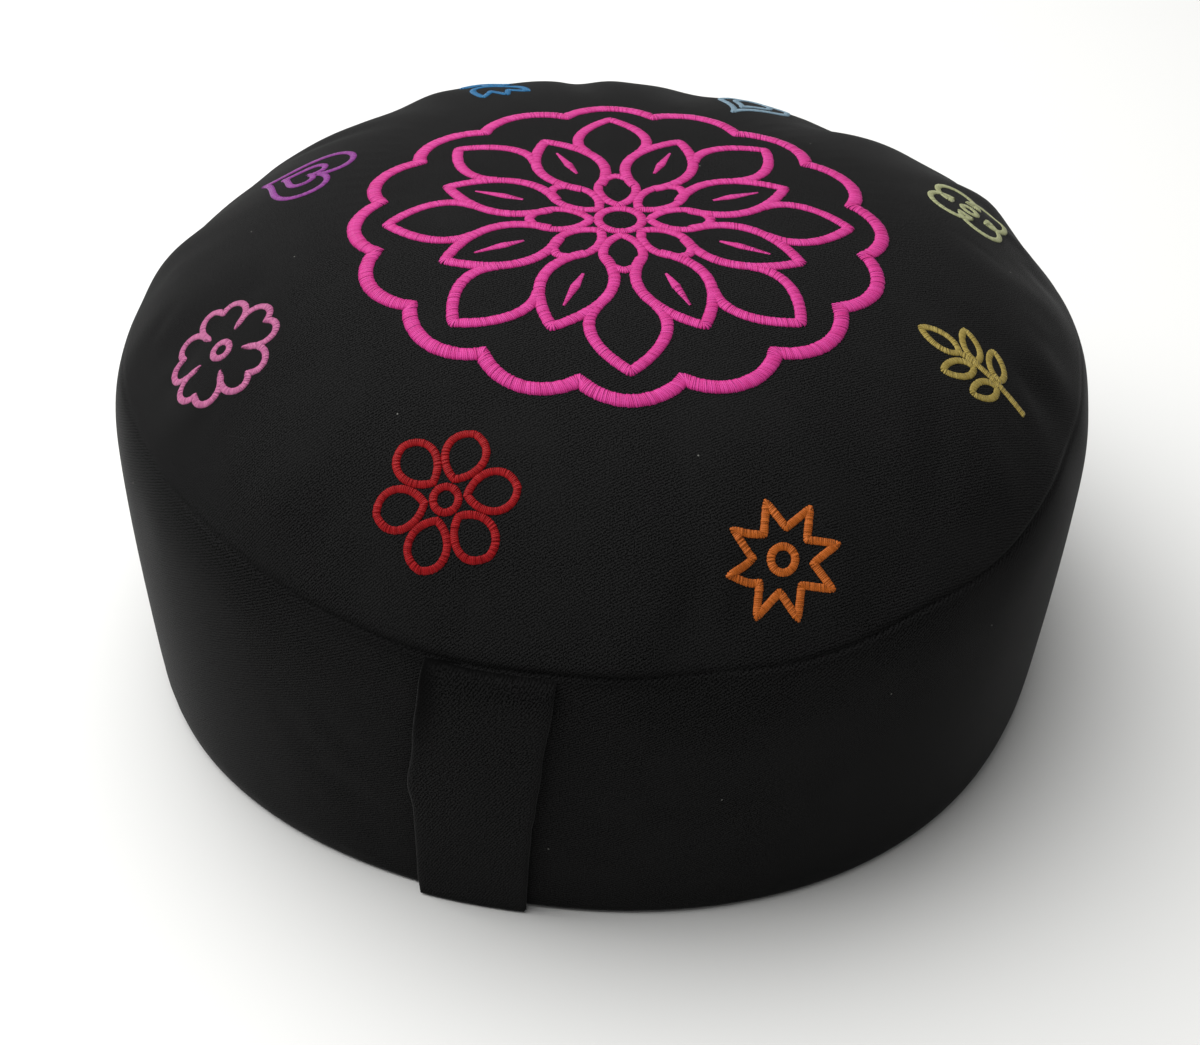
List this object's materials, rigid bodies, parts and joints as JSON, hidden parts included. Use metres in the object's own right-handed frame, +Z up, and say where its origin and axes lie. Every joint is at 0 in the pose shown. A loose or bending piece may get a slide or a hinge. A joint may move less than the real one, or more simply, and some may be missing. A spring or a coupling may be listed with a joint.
{
  "type": "round meditation cushion",
  "caption": "Round firm-filled floor cushion with a crowned top panel, a plain upright side band and a wide fabric carry strap down the band.",
  "frame": {"origin": "centre of the flat base, on the surface the cushion stands on", "axes": "+Z up through the crown, -Y the side that the carry strap is on, +X to the right seen from there"},
  "size_m": [0.349, 0.36, 0.1696],
  "materials": {
    "black_cotton_twill": "washed black cotton twill with a faint pale bloom at grazing angles",
    "black_cotton_strap": "the same black cotton folded double, a little rougher and more matt"
  },
  "bodies": {
    "root": {"cushion_body": "black_cotton_twill", "handle_strap": "black_cotton_strap"}
  },
  "joints": []
}
